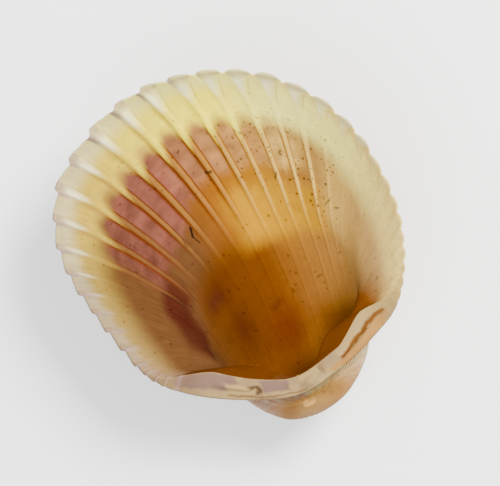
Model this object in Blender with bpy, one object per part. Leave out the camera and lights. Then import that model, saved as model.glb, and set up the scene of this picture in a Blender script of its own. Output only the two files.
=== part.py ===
"""One valve of a ribbed cockle, lying on its rounded back with the hollow side up.

The valve is one grown piece. Its outside and its hollow are two horns that coil in the same
way: the margin, made smaller by a growth law as it turns back about the hinge line. Radial
ribs run along both, and both meet in the toothed edge and the hinge plate.
"""
import math

import bmesh
import bpy
import numpy as np
from mathutils import Matrix

MM = 0.001

# Outline of the margin seen from inside, in mm from the hinge centre: +X to the right, +Y to
# the ventral edge. It starts at the hinge centre and runs round by the right side.
MARGIN = [
    (0.0, 0.0), (7.7, 1.2), (13.5, 3.1), (18.9, 5.9), (22.9, 11.2), (25.4, 18.2), (25.8, 25.5),
    (24.8, 32.4), (21.6, 39.4), (16.4, 45.1), (10.0, 48.9), (2.4, 51.1), (-5.7, 51.1),
    (-13.2, 48.6), (-19.7, 44.5), (-23.5, 38.9), (-24.9, 32.5), (-24.3, 25.8), (-22.7, 18.3),
    (-20.4, 11.6), (-15.6, 6.8), (-7.8, 2.4),
]
SPAN_SAMPLES = 60

# Growth: the margin shrinks by exp(-growth x turn) as it turns back about the hinge line.
GROWTH_DEEP = 1.144
GROWTH_AT_RIM = 0.37
GROWTH_EASE = 0.363
BEAK_TURN = math.radians(200)
HOLLOW_TURN = math.radians(125)

# The point that each horn shrinks to, as (Y, Z): where it starts, level with the margin, and
# where it ends after leaning back past the hinge line.
OUTSIDE_POLE = (3.5 * MM, -1.6 * MM)
HOLLOW_POLE = (5.4 * MM, -1.9 * MM)
BEAK_POLE = (-1.2 * MM, -2.2 * MM)
HOLLOW_END_POLE = (1.4 * MM, -2.4 * MM)
LEAN_FROM = 0.7
LEAN_TO = 2.2
POLE_CLEARANCE = 0.6 * MM
POLE_SOFTNESS = 0.4 * MM

# The umbo is fuller than the margin's shape: how much wider, and between which turns.
UMBO_SWELL = 0.8
SWELL_FROM = 0.6
SWELL_TO = 1.8

# Wall: how much wider the outside is than the hollow, and how soon it gets there.
WALL_GAIN = 0.036
WALL_EASE = 0.247
EDGE_WIDTH = 0.55 * MM

# Ribs: how many, where they end on either side of the hinge plate (as fractions of the margin's
# length), and the width of a rib at points along the margin.
RIBS = 36
RIBS_FROM = 0.105
RIBS_TO = 0.875
RIB_WIDTHS = [(0.105, 1.6), (0.19, 2.5), (0.25, 3.3), (0.31, 4.3), (0.36, 4.9), (0.48, 4.4),
              (0.52, 4.6), (0.58, 5.9), (0.63, 5.0), (0.70, 4.3), (0.76, 3.4), (0.82, 3.7),
              (0.84, 1.9), (0.875, 1.4)]
# They fade out between these distances from the hinge centre, in the same fractions.
RIBS_FADE_FROM = 0.095
RIBS_FADE_TO = 0.15

# One rib, in parts of its width: where its columns lie, how wide a flank is, and the two sides
# of the ridge inside, which falls gently after the groove and steeply before it.
RIB_PHASES = (0.0, 0.30, 0.55, 0.80)
RIB_FLANK = 0.32
RIDGE_AFTER = 0.34
RIDGE_BEFORE = 0.38

# Heights in parts of the rib's width, and the part of each that lies below the smooth shell.
RIB_RELIEF = 0.16
RIB_SUNK = 0.85
RIDGE_RELIEF = 0.13
TOOTH_REACH = 0.12
TOOTH_SUNK = 0.6
# The teeth of the edge die out over this turn, and most of the ridge between these turns.
TOOTH_FADE = 0.10
RIDGE_LOSS = 0.8
RIDGE_FADE_FROM = 0.3
RIDGE_FADE_TO = 1.4

# Hinge plate: its width at places along X, in mm. It narrows to the shell's edge between these
# distances from the hinge centre, as fractions of the margin's length.
PLATE_WIDTHS = [(-13.0, 3.8), (-8.0, 3.1), (-2.0, 2.6), (9.0, 2.6), (15.0, 4.2)]
PLATE_SINK = 0.7 * MM
PLATE_FADE_FROM = 0.085
PLATE_FADE_TO = 0.16
HINGE_COLUMNS = 22
# Its teeth as (middle along X, half length, place across the plate, height).
HINGE_TEETH = [
    (1.9 * MM, 1.4 * MM, 0.42, 1.2 * MM),
    (11.2 * MM, 3.0 * MM, 0.33, 0.7 * MM),
    (-8.9 * MM, 2.8 * MM, 0.64, 0.8 * MM),
]
TOOTH_SPREAD = 0.33

# Rows round the coil. Those of the two horns crowd towards the margin by a power law.
OUTER_ROWS = 14
OUTER_CROWDING = 1.265
EDGE_ROWS = 3
INNER_ROWS = 12
INNER_CROWDING = 1.2

# How the valve lies at rest on its back: turns about X and then Y.
REST_TILT_X = math.radians(1.9)
REST_TILT_Y = math.radians(0.8)


def smooth_step(value, low, high):
    """0 below low, 1 above high, an even S between them."""
    part = np.clip((value - low) / (high - low), 0.0, 1.0)
    return part * part * (3.0 - 2.0 * part)


def margin_curve():
    """Closed Catmull-Rom curve through the margin's points, with its length fractions."""
    here = np.array(MARGIN) * MM
    before, after, beyond = (np.roll(here, shift, axis=0) for shift in (1, -1, -2))
    before, here, after, beyond = (p[:, None, :] for p in (before, here, after, beyond))
    step = np.linspace(0.0, 1.0, SPAN_SAMPLES, endpoint=False)[None, :, None]
    curve = 0.5 * (2.0 * here + (after - before) * step
                   + (2.0 * before - 5.0 * here + 4.0 * after - beyond) * step ** 2
                   + (3.0 * here - before - 3.0 * after + beyond) * step ** 3)
    curve = curve.reshape(-1, 2)
    curve = np.vstack([curve, curve[:1]])
    length = np.concatenate([[0.0], np.cumsum(np.linalg.norm(np.diff(curve, axis=0), axis=1))])
    return curve, length / length[-1]


def rib_columns():
    """Margin fractions of the columns, with each one's rib phase and rib width.

    A whole phase is the groove between two ribs, and the rib's crest is half a phase on. On the
    hinge plate the phase stays whole.
    """
    stations = np.linspace(RIBS_FROM, RIBS_TO, 2000)
    widths = np.interp(stations, *zip(*RIB_WIDTHS)) * MM
    crossed = np.concatenate([[0.0], np.cumsum(0.5 * (1.0 / widths[1:] + 1.0 / widths[:-1]))])
    phases = crossed / crossed[-1] * RIBS
    ribbed_phase = (np.arange(RIBS)[:, None] + np.array(RIB_PHASES)[None, :]).ravel()
    ribbed_phase = np.append(ribbed_phase, float(RIBS))
    ribbed = np.interp(ribbed_phase, phases, stations)
    hinge = np.linspace(RIBS_TO, 1.0 + RIBS_FROM, HINGE_COLUMNS + 1)[1:-1]
    fraction = np.concatenate([ribbed, hinge])
    phase = np.concatenate([ribbed_phase, np.full(len(hinge), float(RIBS))])
    width = np.interp(fraction, stations, widths)
    return fraction % 1.0, phase, width


def growth_scale(turn):
    """Size of the hollow's ring, relative to the margin, at an angle back along the coil."""
    eased = (GROWTH_AT_RIM - GROWTH_DEEP) * GROWTH_EASE * (1.0 - np.exp(-turn / GROWTH_EASE))
    return np.exp(-(GROWTH_DEEP * turn + eased))


def horn(loop, pole_start, pole_end, turns, size):
    """Rows of points: the loop turned back about the hinge line and shrunk to a moving pole.

    Near the hinge the loop is no further dorsal than the pole, or it would turn up through the
    plate, so there the pole starts just dorsal of the loop's own point.
    """
    beside = loop[:, 1] - POLE_CLEARANCE
    start_y = -POLE_SOFTNESS * np.logaddexp(-beside / POLE_SOFTNESS,
                                            -pole_start[0] / POLE_SOFTNESS)
    lean = smooth_step(turns, LEAN_FROM, LEAN_TO)[:, None]
    pole_y = start_y + (pole_end[0] - start_y) * lean
    pole_z = pole_start[1] + (pole_end[1] - pole_start[1]) * lean
    from_y = loop[:, 1] - start_y
    from_z = loop[:, 2] - pole_start[1]
    cos, sin = np.cos(turns)[:, None], np.sin(turns)[:, None]
    swell = 1.0 + UMBO_SWELL * smooth_step(turns, SWELL_FROM, SWELL_TO)
    x = (size * swell)[:, None] * loop[:, 0]
    y = pole_y + size[:, None] * (from_y * cos + from_z * sin)
    z = pole_z + size[:, None] * (from_z * cos - from_y * sin)
    return np.stack([x, y, z], axis=2)


def outward_normals(rows):
    """Unit normals of a grid of points whose columns run round a closed loop."""
    around = np.roll(rows, -1, axis=1) - np.roll(rows, 1, axis=1)
    back = np.gradient(rows, axis=0)
    normal = np.cross(back, around)
    return normal / np.linalg.norm(normal, axis=2, keepdims=True)


def rib_profiles(phase):
    """Height of the rounded rib outside and of the narrow ridge inside, each from 0 to 1."""
    part = phase % 1.0
    from_groove = np.minimum(part, 1.0 - part)
    rib = np.sin(0.5 * np.pi * np.clip(from_groove / RIB_FLANK, 0.0, 1.0))
    ridge = np.maximum(1.0 - smooth_step(part, 0.0, RIDGE_AFTER),
                       smooth_step(part, 1.0 - RIDGE_BEFORE, 1.0))
    return rib, ridge


def hinge_tooth_height(along, across):
    """Height of the hinge teeth at a place along X and across the plate."""
    height = np.zeros(np.broadcast(along, across).shape)
    for middle, half_length, place, top in HINGE_TEETH:
        lengthwise = np.clip(1.0 - ((along - middle) / half_length) ** 2, 0.0, 1.0)
        crosswise = np.clip(1.0 - ((across - place) / TOOTH_SPREAD) ** 2, 0.0, 1.0)
        height = np.maximum(height, top * lengthwise * crosswise)
    return height


def valve_rows():
    """Grid of the whole skin: beak, outside, edge and hinge plate, then the hollow."""
    fraction, phase, width = rib_columns()
    curve, length = margin_curve()
    loop = np.stack([np.interp(fraction, length, curve[:, k]) for k in range(2)], axis=1)
    along = np.roll(loop, -1, axis=0) - np.roll(loop, 1, axis=0)
    inward = np.stack([-along[:, 1], along[:, 0]], axis=1)
    inward /= np.linalg.norm(inward, axis=1, keepdims=True)

    from_hinge = np.minimum(fraction, 1.0 - fraction)
    on_plate = 1.0 - smooth_step(from_hinge, PLATE_FADE_FROM, PLATE_FADE_TO)
    on_ribs = smooth_step(from_hinge, RIBS_FADE_FROM, RIBS_FADE_TO)
    plate_width = np.interp(loop[:, 0] / MM, *zip(*PLATE_WIDTHS)) * MM
    edge_width = EDGE_WIDTH + (plate_width - EDGE_WIDTH) * on_plate
    outer_loop = np.column_stack([loop, np.zeros(len(loop))])
    inner_loop = np.column_stack([loop + inward * edge_width[:, None], -PLATE_SINK * on_plate])

    outer_turns = BEAK_TURN * np.linspace(0.0, 1.0, OUTER_ROWS + 1) ** OUTER_CROWDING
    inner_turns = HOLLOW_TURN * np.linspace(0.0, 1.0, INNER_ROWS + 1) ** INNER_CROWDING
    inner_size = growth_scale(inner_turns)
    outer_size = growth_scale(outer_turns)
    outer_size *= 1.0 + WALL_GAIN * (1.0 - np.exp(-outer_turns / WALL_EASE))
    outer = horn(outer_loop, OUTSIDE_POLE, BEAK_POLE, outer_turns, outer_size)
    inner = horn(inner_loop, HOLLOW_POLE, HOLLOW_END_POLE, inner_turns, inner_size)
    outer_normal = outward_normals(outer)
    inner_normal = outward_normals(inner)

    rib, ridge = rib_profiles(phase)
    rib_height = RIB_RELIEF * width * on_ribs * (rib - RIB_SUNK)
    ridge_height = RIDGE_RELIEF * width * on_ribs * ridge
    ridge_fade = 1.0 - RIDGE_LOSS * smooth_step(inner_turns, RIDGE_FADE_FROM, RIDGE_FADE_TO)
    ridge_fade = ridge_fade[:, None, None]
    outer += outer_normal * outer_size[:, None, None] * rib_height[:, None]
    inner -= inner_normal * inner_size[:, None, None] * ridge_fade * ridge_height[:, None]

    tooth = TOOTH_REACH * width * on_ribs * (rib - TOOTH_SUNK)
    for rows, turns in ((outer, outer_turns), (inner, inner_turns)):
        rows[:, :, 2] += np.exp(-turns / TOOTH_FADE)[:, None] * tooth

    across = np.arange(1, EDGE_ROWS)[:, None] / EDGE_ROWS
    edge = outer[0] + (inner[0] - outer[0]) * across[:, :, None]
    edge[:, :, 2] += hinge_tooth_height(edge[:, :, 0], across) * on_plate
    return np.concatenate([outer[::-1], edge, inner])


def at_rest(points):
    """The points turned to how the valve lies, its box standing centred on the origin."""
    turn = Matrix.Rotation(REST_TILT_Y, 3, "Y") @ Matrix.Rotation(REST_TILT_X, 3, "X")
    points = points @ np.array(turn).T
    low, high = points.min(axis=0), points.max(axis=0)
    return points - [0.5 * (low[0] + high[0]), 0.5 * (low[1] + high[1]), low[2]]


def skin_mesh(name, rows):
    """Closed mesh from a grid whose rows are closed rings, each end drawn to one point."""
    row_count, column_count = rows.shape[:2]
    points = rows.reshape(-1, 3)
    ends = [rows[0].mean(axis=0), rows[-1].mean(axis=0)]
    points = at_rest(np.vstack([points] + ends))
    first_end, last_end = len(points) - 2, len(points) - 1
    faces = []
    for row in range(row_count - 1):
        for column in range(column_count):
            right = (column + 1) % column_count
            low, high = row * column_count, (row + 1) * column_count
            faces.append((low + column, low + right, high + right, high + column))
    last_row = (row_count - 1) * column_count
    for column in range(column_count):
        right = (column + 1) % column_count
        faces.append((first_end, right, column))
        faces.append((last_end, last_row + column, last_row + right))
    mesh = bpy.data.meshes.new(name)
    mesh.from_pydata(points.tolist(), [], faces)
    mesh.update()
    return mesh


def shell_material():
    """Cream shell with a low gloss."""
    material = bpy.data.materials.new("shell_cream")
    material.use_nodes = True
    shader = material.node_tree.nodes["Principled BSDF"]
    shader.inputs["Base Color"].default_value = (0.80, 0.70, 0.48, 1.0)
    shader.inputs["Roughness"].default_value = 0.45
    shader.inputs["Metallic"].default_value = 0.0
    return material


def main():
    for leftover in list(bpy.data.objects):
        bpy.data.objects.remove(leftover, do_unlink=True)
    collection = bpy.data.collections.new("cockle_shell")
    bpy.context.scene.collection.children.link(collection)

    mesh = skin_mesh("valve", valve_rows())
    valve = bpy.data.objects.new("valve", mesh)
    collection.objects.link(valve)
    mesh.materials.append(shell_material())
    bm = bmesh.new()
    bm.from_mesh(mesh)
    bmesh.ops.recalc_face_normals(bm, faces=bm.faces)
    bm.to_mesh(mesh)
    bm.free()
    mesh.shade_smooth()


main()
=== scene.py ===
"""Dresses one ribbed cockle valve: its finer shape, its growth lines and its worn colours."""
import math
from types import SimpleNamespace

import bpy
import numpy as np
from mathutils import Matrix, Vector


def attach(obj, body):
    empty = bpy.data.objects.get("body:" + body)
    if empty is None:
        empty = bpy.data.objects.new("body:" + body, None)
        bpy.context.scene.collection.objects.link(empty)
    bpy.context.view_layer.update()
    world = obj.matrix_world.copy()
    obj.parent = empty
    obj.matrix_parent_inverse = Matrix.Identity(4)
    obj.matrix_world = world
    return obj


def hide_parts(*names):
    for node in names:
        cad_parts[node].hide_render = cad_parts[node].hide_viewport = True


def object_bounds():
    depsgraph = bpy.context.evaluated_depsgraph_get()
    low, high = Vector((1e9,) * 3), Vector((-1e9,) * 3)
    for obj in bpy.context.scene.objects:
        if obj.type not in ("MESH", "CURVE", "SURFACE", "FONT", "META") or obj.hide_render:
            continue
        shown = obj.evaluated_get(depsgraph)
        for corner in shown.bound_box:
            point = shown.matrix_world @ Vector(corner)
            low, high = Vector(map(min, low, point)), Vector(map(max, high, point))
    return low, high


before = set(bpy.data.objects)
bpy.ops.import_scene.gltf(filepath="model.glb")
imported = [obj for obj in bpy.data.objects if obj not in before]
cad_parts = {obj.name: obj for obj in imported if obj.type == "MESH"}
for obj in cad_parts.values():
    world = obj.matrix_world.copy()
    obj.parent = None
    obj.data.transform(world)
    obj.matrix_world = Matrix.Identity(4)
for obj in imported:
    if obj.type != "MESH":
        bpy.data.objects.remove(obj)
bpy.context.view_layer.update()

MM = 0.001

# Outline of the margin seen from inside, in mm from the hinge centre: +X to the right, +Y to
# the ventral edge. It starts at the hinge centre and runs round by the right side.
MARGIN = [
    (0, 0), (7.7, 1.2), (13.5, 3.1), (18.9, 5.9), (22.9, 11.2), (25.4, 18.2), (25.8, 25.5),
    (24.8, 32.4), (21.6, 39.4), (16.4, 45.1), (10, 48.9), (2.4, 51.1), (-5.7, 51.1),
    (-13.2, 48.6), (-19.7, 44.5), (-23.5, 38.9), (-24.9, 32.5), (-24.3, 25.8), (-22.7, 18.3),
    (-20.4, 11.6), (-15.6, 6.8), (-7.8, 2.4),
]
SPAN_SAMPLES = 60
RIB_STATIONS = 2000

# How the margin shrinks as it turns back about the hinge line: its growth per radian, deep in the
# shell and at the rim, and the poles it shrinks towards, as (Y, Z), which lean back between two
# turns. The umbo swells along X between two others. Turns are in radians.
GROWTH_DEEP = 1.144
GROWTH_AT_RIM = 0.37
GROWTH_EASE = 0.363
BEAK_TURN = math.radians(200)
HOLLOW_TURN = math.radians(125)
OUTSIDE_POLE = (3.5 * MM, -1.6 * MM)
HOLLOW_POLE = (5.4 * MM, -1.9 * MM)
BEAK_POLE = (-1.2 * MM, -2.2 * MM)
HOLLOW_END_POLE = (1.4 * MM, -2.4 * MM)
LEAN_FROM = 0.7
LEAN_TO = 2.2
POLE_CLEARANCE = 0.6 * MM
POLE_SOFTNESS = 0.4 * MM
UMBO_SWELL = 0.8
SWELL_FROM = 0.6
SWELL_TO = 1.8

# Wall: how much larger the outside is than the hollow, over which turn it gets so, and the edge.
WALL_GAIN = 0.036
WALL_EASE = 0.247
EDGE_WIDTH = 0.55 * MM
EDGE_ROUNDING = 0.22

# Ribs: how many, the fractions of the margin where they start and end, and their widths in mm at
# such fractions. A rib's columns lie at shares of it, and its height is in shares of its width.
RIBS = 36
RIBS_FROM = 0.105
RIBS_TO = 0.875
RIB_WIDTHS = [(0.105, 1.6), (0.19, 2.5), (0.25, 3.3), (0.31, 4.3), (0.36, 4.9), (0.48, 4.4),
              (0.52, 4.6), (0.58, 5.9), (0.63, 5), (0.70, 4.3), (0.76, 3.4), (0.82, 3.7),
              (0.84, 1.9), (0.875, 1.4)]
RIBS_FADE_FROM = 0.095
RIBS_FADE_TO = 0.15
RIB_COLUMNS = (0.0, 0.06, 0.12, 0.18, 0.24, 0.30, 0.37, 0.46, 0.60, 0.74, 0.86, 0.93)
RIB_RELIEF = 0.19
RIB_SUNK = 0.85
RIB_FLANK = (0.03, 0.30)
RIB_CROWN = 0.18
UNEVEN_RIBS = 0.18

# The edge's lobes and teeth, in shares of a rib, the ribs between which the lobes turn from
# parabolas to stepped ones, and the turn in radians over which the teeth fade.
LOBE_RELIEF = 0.12
LOBE_CURVE = 1.25
LOBE_STEPS = ((0.0, 0.34), (0.38, 0.66))
LOBE_FALL = (0.88, 1.0)
STEPPED_FROM = (16.5, 20.5)
NOTCH_AT = 0.18
TOOTH_REACH = 0.075
TOOTH_OF_RIDGE = 0.8
TOOTH_OF_LOBE = 0.4
TOOTH_SUNK = 0.5
TOOTH_FADE = 0.10

# Relief of the hollow, in shares of a rib: ridges at the edge and further back, where they are
# strong only round the ventral side, and how closely the wall follows the lobes. Fades are turns.
CREST_RELIEF = 0.072
CREST_AT_EDGE = 0.45
STRIP_RELIEF = 0.050
WEAK_RIDGE = 0.15
STRONG_FROM = (12.5, 15.5)
STRONG_TO = (26, 29)
FOLLOWED_LOBE = 0.9
LOBE_HELD = 0.5
RIM_FADE_FROM = math.radians(2)
RIM_FADE_TO = math.radians(11)
RIDGE_LOSS = 0.8
RIDGE_FADE_FROM = 0.3
RIDGE_FADE_TO = 1.4

# Slow waves over the shell, and the turn over which they and the growth steps come in outside.
OUTER_WAVES = 0.07 * MM
INNER_WAVES = 0.05 * MM
INNER_WAVES_PHASE = 9.0
WAVES_BEGIN_OVER = 0.05

# Ridges inside run between two feet: how far the right foot lies past the rib's groove, and how
# wide the ridge is at the edge, at places round the margin, as (rib, shares of a rib). The rise
# ends at a share of the width from the right foot, and the fall begins at a share of a rib.
RIGHT_FOOT = [(0, 0.16), (18.5, 0.12), (19.3, 0.20), (20.3, 0.33), (21.4, 0.38), (22.4, 0.33),
              (23.3, 0.21), (24.3, 0.25), (26.5, 0.30), (36, 0.25)]
RIM_RIDGE = [(0, 0.55), (9, 0.62), (12.5, 0.76), (16, 0.88), (18.4, 0.80), (20.8, 0.60),
             (22.8, 0.48), (36, 0.45)]
DEEP_RIDGE = 0.26
RIDGE_NARROWS_OVER = 6.0
RIDGE_PLATEAU = 0.70
PLATEAU_LESS_AT_EDGE = 0.15
RIDGE_FALL_FROM = 0.92
FALL_SOONER_AT_EDGE = 0.20

# Hinge plate: its width at places along X, in mm, its fade between two fractions of the margin,
# and its teeth and sockets as (middle along X, half length, place and half width across, height).
PLATE_WIDTHS = [(-13, 3.8), (-8, 3.1), (-2, 2.6), (9, 2.6), (15, 4.2)]
PLATE_SINK = 0.7 * MM
PLATE_FADE_FROM = 0.085
PLATE_FADE_TO = 0.16
HINGE_COLUMNS = 50
HINGE_RELIEF = [
    (1.9 * MM, 1.4 * MM, 0.42, 0.30, 0.75 * MM),
    (-0.9 * MM, 0.9 * MM, 0.50, 0.26, 0.35 * MM),
    (0.5 * MM, 0.7 * MM, 0.50, 0.24, -0.25 * MM),
    (11.2 * MM, 3.4 * MM, 0.26, 0.20, 0.50 * MM),
    (11.0 * MM, 3.0 * MM, 0.52, 0.16, -0.30 * MM),
    (-8.9 * MM, 2.8 * MM, 0.62, 0.24, 0.55 * MM),
    (-9.6 * MM, 3.4 * MM, 0.30, 0.20, -0.20 * MM),
]

# Pauses in growth outside, as (turn in degrees, depth of the step in mm), and a step's width in
# degrees: at the edge, and how much more it has for each degree back.
GROWTH_PAUSES = [(3.6, 0.07), (9, 0.12), (14, 0.06), (21, 0.10), (29.5, 0.06), (37, 0.11),
                 (48, 0.07), (60, 0.10), (75, 0.07), (92, 0.08), (112, 0.06)]
PAUSE_WIDTH = 0.6
PAUSE_WIDENS = 0.02

# Rows of the grid outside, over the edge and inside, crowded towards the edge by a power.
OUTER_ROWS = 88
OUTER_CROWDING = 1.265
EDGE_ROWS = 14
INNER_ROWS = 86
INNER_CROWDING = 1.2

# How the valve tilts as it rests on its back: about X, then about Y.
REST_TILT = (Matrix.Rotation(math.radians(0.8), 3, "Y")
             @ Matrix.Rotation(math.radians(1.9), 3, "X"))


def smooth_step(value, low, high):
    """0 below low, 1 above high, an even S between them."""
    part = np.clip((value - low) / (high - low), 0.0, 1.0)
    return part * part * (3.0 - 2.0 * part)


def margin_curve():
    """Closed curve through the margin's points, with its length fractions.

    Each span is a cubic whose slope at a point is half the step between that point's neighbours.
    """
    here = np.array(MARGIN) * MM
    before, after, beyond = (np.roll(here, shift, axis=0) for shift in (1, -1, -2))
    before, here, after, beyond = (p[:, None, :] for p in (before, here, after, beyond))
    step = np.linspace(0.0, 1.0, SPAN_SAMPLES, endpoint=False)[None, :, None]
    curve = 0.5 * (2.0 * here + (after - before) * step
                   + (2.0 * before - 5.0 * here + 4.0 * after - beyond) * step ** 2
                   + (3.0 * here - before - 3.0 * after + beyond) * step ** 3)
    curve = curve.reshape(-1, 2)
    curve = np.vstack([curve, curve[:1]])
    length = np.concatenate([[0.0], np.cumsum(np.linalg.norm(np.diff(curve, axis=0), axis=1))])
    return curve, length / length[-1]


def rib_columns():
    """Margin fractions of the columns, with each one's rib phase and rib width.

    The phase is the integral along the margin of one over the rib's width, scaled to the number
    of ribs. It runs on past both ends of the ribs on the hinge plate.
    """
    stations = np.linspace(RIBS_FROM, RIBS_TO, RIB_STATIONS)
    widths = np.interp(stations, *zip(*RIB_WIDTHS)) * MM
    crossed = np.concatenate([[0.0], np.cumsum(0.5 * (1.0 / widths[1:] + 1.0 / widths[:-1]))])
    phases = crossed / crossed[-1] * RIBS
    ribbed_phase = (np.arange(RIBS)[:, None] + np.array(RIB_COLUMNS)[None, :]).ravel()
    ribbed_phase = np.append(ribbed_phase, float(RIBS))
    ribbed = np.interp(ribbed_phase, phases, stations)
    hinge = np.linspace(RIBS_TO, 1.0 + RIBS_FROM, HINGE_COLUMNS + 1)[1:-1]
    fraction = np.concatenate([ribbed, hinge])
    past = np.where(hinge < 1.0, RIBS + (hinge - RIBS_TO) * RIBS, (hinge - 1.0 - RIBS_FROM) * RIBS)
    phase = np.concatenate([ribbed_phase, past])
    width = np.interp(fraction, stations, widths)
    return fraction % 1.0, phase, width


def growth_scale(turn):
    """Size of the hollow's ring at a turn: exp of minus the growth summed over the turn."""
    eased = (GROWTH_AT_RIM - GROWTH_DEEP) * GROWTH_EASE * (1.0 - np.exp(-turn / GROWTH_EASE))
    return np.exp(-(GROWTH_DEEP * turn + eased))


def horn(loop, pole_start, pole_end, turns, size):
    """Rows of points: the loop turned about the hinge line and shrunk to a moving pole.

    A row is pole + size x rotation(turn) x (loop - first pole); the pole leans back past the
    hinge line, and X is widened by the umbo's swell. The first pole's Y is the softened lesser
    of the given one and the loop's own less a clearance.
    """
    beside = loop[:, 1] - POLE_CLEARANCE
    start_y = -POLE_SOFTNESS * np.logaddexp(-beside / POLE_SOFTNESS,
                                            -pole_start[0] / POLE_SOFTNESS)
    lean = smooth_step(turns, LEAN_FROM, LEAN_TO)[:, None]
    pole_y = start_y + (pole_end[0] - start_y) * lean
    pole_z = pole_start[1] + (pole_end[1] - pole_start[1]) * lean
    from_y = loop[:, 1] - start_y
    from_z = loop[:, 2] - pole_start[1]
    cos, sin = np.cos(turns)[:, None], np.sin(turns)[:, None]
    swell = 1.0 + UMBO_SWELL * smooth_step(turns, SWELL_FROM, SWELL_TO)
    x = (size * swell)[:, None] * loop[:, 0]
    y = pole_y + size[:, None] * (from_y * cos + from_z * sin)
    z = pole_z + size[:, None] * (from_z * cos - from_y * sin)
    return np.stack([x, y, z], axis=2)


def outward_normals(rows):
    """Unit normals of a grid of points: cross product of its two central differences."""
    around = np.roll(rows, -1, axis=1) - np.roll(rows, 1, axis=1)
    back = np.gradient(rows, axis=0)
    normal = np.cross(back, around)
    return normal / np.linalg.norm(normal, axis=2, keepdims=True)


def rib_outside(phase):
    """Height of a rib outside, 0 to 1: S-shaped flanks and a slightly crowned top."""
    part = phase % 1.0
    from_groove = np.minimum(part, 1.0 - part)
    crown = 1.0 - (2.0 * part - 1.0) ** 2
    return (1.0 - RIB_CROWN) * smooth_step(from_groove, *RIB_FLANK) + RIB_CROWN * crown


def rib_size(phase):
    """A rib's own size: 1 plus a share of the product of two sines of its number."""
    number = np.floor(phase - NOTCH_AT)
    return 1.0 + UNEVEN_RIBS * np.sin(2.4 * number) * np.sin(0.7 * number + 1.0)


def rim_lobe(phase):
    """How far the edge reaches out, up to about 1 between two notches, times the rib's size.

    On the left it has two gentle rises and a steep fall; elsewhere it is a parabola, and the
    notches are deeper.
    """
    part = (phase - NOTCH_AT) % 1.0
    rise = 0.5 * sum(smooth_step(part, *step) for step in LOBE_STEPS)
    stepped = rise * (1.0 - smooth_step(part, *LOBE_FALL))
    hump = 1.0 - LOBE_CURVE * (2.0 * part - 1.0) ** 2
    lobe = stepped + (hump - stepped) * (1.0 - smooth_step(phase, *STEPPED_FROM))
    return lobe * rib_size(phase)


def near_edge(turns):
    """1 at the edge, 0 where the lobes have given way to the even ribs."""
    return 1.0 - smooth_step(turns, RIM_FADE_FROM, RIM_FADE_TO)


def from_right_foot(phase):
    """Rib phase counted from the right foot of the ridges inside."""
    return phase - np.interp(phase, *zip(*RIGHT_FOOT))


def inner_ridge(phase, turns):
    """Height of the ridge inside, 0 to 1: a rise from its left foot, and a fall to its right one.

    The width goes from the edge's to the deep one's as exp of minus the turn, so that the left
    foot leans towards the right one.
    """
    at_edge = np.exp(-np.degrees(turns) / RIDGE_NARROWS_OVER)
    width = DEEP_RIDGE + (np.interp(phase, *zip(*RIM_RIDGE)) - DEEP_RIDGE) * at_edge
    part = from_right_foot(phase) % 1.0
    plateau = width * (RIDGE_PLATEAU - PLATEAU_LESS_AT_EDGE * at_edge)
    rise = smooth_step(part, 1.0 - width, 1.0 - plateau)
    return rise * (1.0 - smooth_step(part, RIDGE_FALL_FROM - FALL_SOONER_AT_EDGE * at_edge, 1.0))


def unevenness(phase, turns):
    """Slow waves over the shell, about -1 to 1: a sum of four sines of phase and turn."""
    return 0.35 * (np.sin(0.83 * phase + 5.1 * turns + 0.4) + np.sin(0.37 * phase - 7.7 * turns)
                   + 0.7 * np.sin(1.9 * phase + 11.0 * turns + 2.0)
                   + 0.5 * np.sin(3.1 * phase - 17.0 * turns + 1.0))


def growth_steps(phase, turns):
    """Depth below the even shell, in mm: each pause is a quick drop that eases away to the umbo."""
    wander = np.degrees(turns) + 0.35 * np.sin(0.9 * phase) + 0.2 * np.sin(2.3 * phase + 1.0)
    depth = np.zeros(np.broadcast(phase, turns).shape)
    for place, drop in GROWTH_PAUSES:
        width = PAUSE_WIDTH + PAUSE_WIDENS * place
        sudden = smooth_step(wander, place - width, place)
        eased = np.exp(-(wander - place) / (2 * width))
        depth += drop * np.where(wander < place, sudden, eased)
    return depth


def hinge_relief(along, across):
    """Sum of rounded blades and sockets, each a half ellipse lengthwise times a parabola across."""
    height = np.zeros(np.broadcast(along, across).shape)
    for middle, half_length, place, half_width, top in HINGE_RELIEF:
        lengthwise = np.clip(1.0 - ((along - middle) / half_length) ** 2, 0.0, 1.0)
        crosswise = np.clip(1.0 - ((across - place) / half_width) ** 2, 0.0, 1.0)
        height += top * np.sqrt(lengthwise) * crosswise
    return height


def edge_loops(fraction):
    """The margin outside and inside the edge, and how much of each place is hinge plate.

    The inner loop is the outer one moved inwards by the edge's width, which the plate widens.
    """
    curve, length = margin_curve()
    loop = np.stack([np.interp(fraction, length, curve[:, k]) for k in range(2)], axis=1)
    along = np.roll(loop, -1, axis=0) - np.roll(loop, 1, axis=0)
    inward = np.stack([-along[:, 1], along[:, 0]], axis=1)
    inward /= np.linalg.norm(inward, axis=1, keepdims=True)
    from_hinge = np.minimum(fraction, 1.0 - fraction)
    on_plate = 1.0 - smooth_step(from_hinge, PLATE_FADE_FROM, PLATE_FADE_TO)
    plate_width = np.interp(loop[:, 0] / MM, *zip(*PLATE_WIDTHS)) * MM
    edge_width = EDGE_WIDTH + (plate_width - EDGE_WIDTH) * on_plate
    outer_loop = np.column_stack([loop, np.zeros(len(loop))])
    inner_loop = np.column_stack([loop + inward * edge_width[:, None], -PLATE_SINK * on_plate])
    return outer_loop, inner_loop, on_plate


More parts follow.
